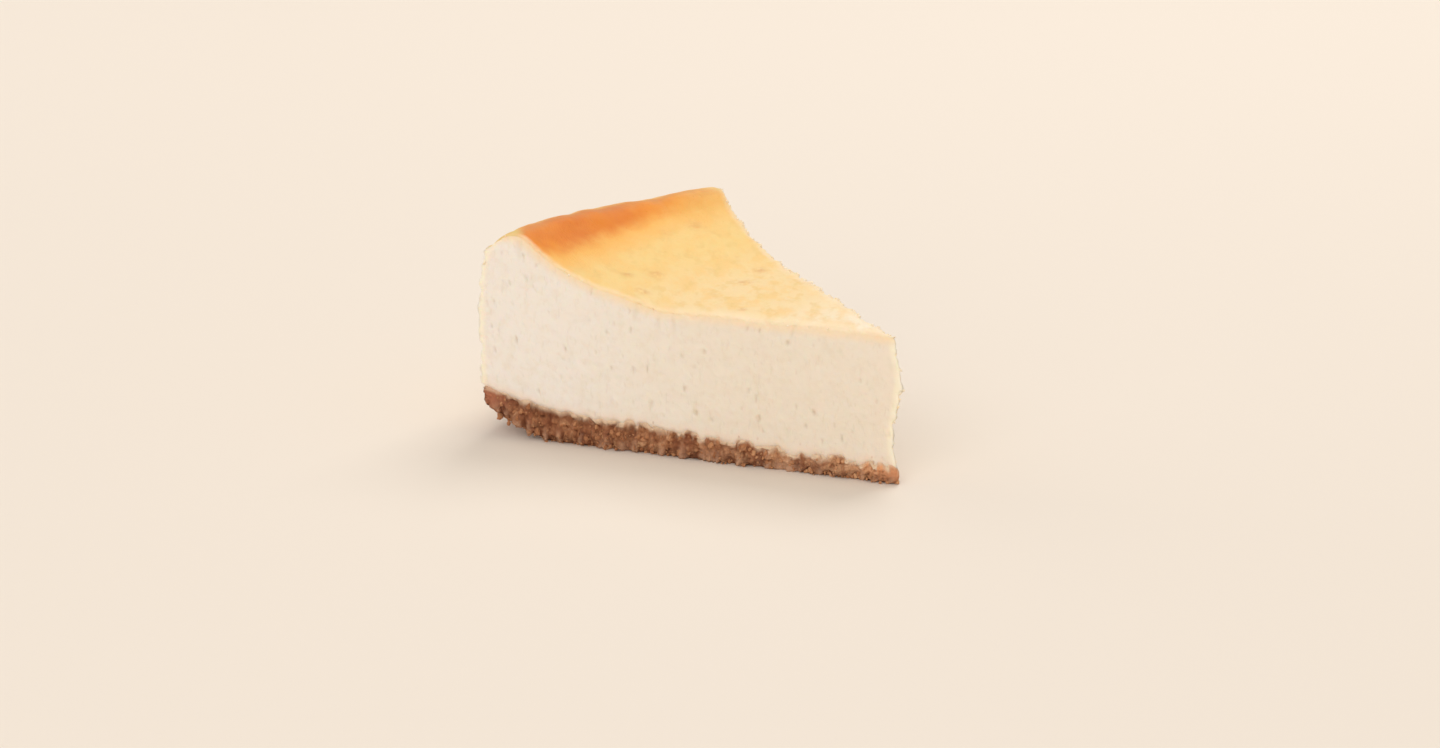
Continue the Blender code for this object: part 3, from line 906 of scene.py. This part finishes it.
set_cheese = set_cheese_finish()
filling_mesh = slice_layer(
    steps=FILLING_STEPS,
    layers=FILLING_LAYERS,
    hidden_end=-1,
    foot=filling_foot,
    top=top_height,
    edge_radius=TOP_EDGE_RADIUS,
    wall=shoulder_wall,
    relief=filling_relief,
    marks=("skin", "wall", "above_seam", "edge", "hole", "spot", "strip", "under_skin"),
)
edge_mark = filling_mesh.verts.layers.float["edge"]
edge_places = [v.co.copy() for v in filling_mesh.verts if v[edge_mark] < EDGE_NARROW]
as_piece("cheese_filling_baked", filling_mesh, set_cheese, "cheese_filling")


# The crumbs of cheese on the cut edges.
# Soft grains that the knife dragged out along the edges of its two cuts and left hanging there.
EDGE_CRUMBS = 700
NEAR_SIDE_SHARE = 0.06
CHEESE_CRUMB_LEAST, CHEESE_CRUMB_MOST = 0.15 * MM, 0.45 * MM
TOWARDS_LEAST, CHEESE_CRUMB_TALLEST = 2.5, 1.3
CHEESE_CRUMB_SHIFT = 0.1 * MM
cheese_luck = random.Random(11)
edge_mesh = bmesh.new()
for _ in range(EDGE_CRUMBS):
    size = CHEESE_CRUMB_MOST - CHEESE_CRUMB_LEAST
    size = CHEESE_CRUMB_LEAST + size * cheese_luck.random() ** TOWARDS_LEAST
    place = cheese_luck.choice(edge_places)
    shift = Vector([cheese_luck.uniform(-1, 1) * CHEESE_CRUMB_SHIFT for _ in range(3)])
    if place.y > 0 or cheese_luck.random() < NEAR_SIDE_SHARE:
        splinter(edge_mesh, place + shift, size, CHEESE_CRUMB_TALLEST, cheese_luck)


def cheese_crumbs_finish():
    """Pale crumbs of set cheese, with a tinge of the skin here and there."""
    material, tree, shader = new_finish("cheese_crumbs", Specular_IOR_Level=0.2)
    grain = tree.cloud(0.6)
    paint = tree.cloud(3.0).step(0.4, 0.7).mix(colour(253, 238, 212), colour(250, 226, 184))
    lay_on(tree, shader, paint, 0.6 + 0.15 * grain, grain, 0.08 * MM, 0.5)
    return material


cheese_crumbs = cheese_crumbs_finish()
as_piece("cheese_filling_edge_crumbs", edge_mesh, cheese_crumbs, "cheese_filling")


# The floor under the slice.
# A plain pale sheet, large enough for every view.
floor_mesh = bmesh.new()
bmesh.ops.create_grid(floor_mesh, x_segments=1, y_segments=1, size=6)
floor_data = bpy.data.meshes.new("floor")
floor_mesh.to_mesh(floor_data)
floor_mesh.free()
floor_finish = bpy.data.materials.new("pale_floor")
floor_finish.use_nodes = True
floor_shader = floor_finish.node_tree.nodes["Principled BSDF"]
floor_shader.inputs["Base Color"].default_value = colour(236, 225, 212)
floor_shader.inputs["Roughness"].default_value = 0.9
floor_data.materials.append(floor_finish)
floor = bpy.data.objects.new("floor", floor_data)
bpy.context.scene.collection.objects.link(floor)


# The light.
# One large soft light above and behind the slice, one in front of it, a weak one on the
# side of its outer wall, and a pale sky all round.
SLICE_MIDDLE = Vector((0, 0, 20 * MM))


def soft_light(name, place, size, power, tint):
    """A square area light that faces the slice."""
    data = bpy.data.lights.new(name, "AREA")
    data.size = size
    data.energy = power
    data.color = tint[:3]
    light = bpy.data.objects.new(name, data)
    light.location = place
    light.rotation_euler = (SLICE_MIDDLE - Vector(place)).to_track_quat("-Z", "Y").to_euler()
    bpy.context.scene.collection.objects.link(light)


soft_light("key_light", (-0.2, 0.85, 1.2), 0.9, 9, colour(255, 252, 248))
soft_light("front_light", (0.6, -1.15, 0.8), 1.2, 8.7, colour(255, 252, 249))
soft_light("wall_light", (-1.3, -0.1, 0.55), 0.9, 3, colour(255, 252, 249))
world = bpy.data.worlds.new("pale_sky")
world.use_nodes = True
sky = world.node_tree.nodes["Background"]
sky.inputs["Color"].default_value = colour(255, 251, 246)
sky.inputs["Strength"].default_value = 0.57
bpy.context.scene.world = world
bpy.context.scene.view_settings.view_transform = "Standard"


# The camera.
# A short telephoto view from the tip's near side, a little above the slice.
camera_data = bpy.data.cameras.new("camera")
camera_data.sensor_width = 36
camera_data.lens = 85
camera = bpy.data.objects.new("camera", camera_data)
camera_forward = Vector((-0.66066, 0.69134, -0.29254))
camera.location = (0.52518, -0.55266, 0.24829)
camera.rotation_euler = camera_forward.to_track_quat("-Z", "Y").to_euler()
bpy.context.scene.collection.objects.link(camera)
bpy.context.scene.camera = camera
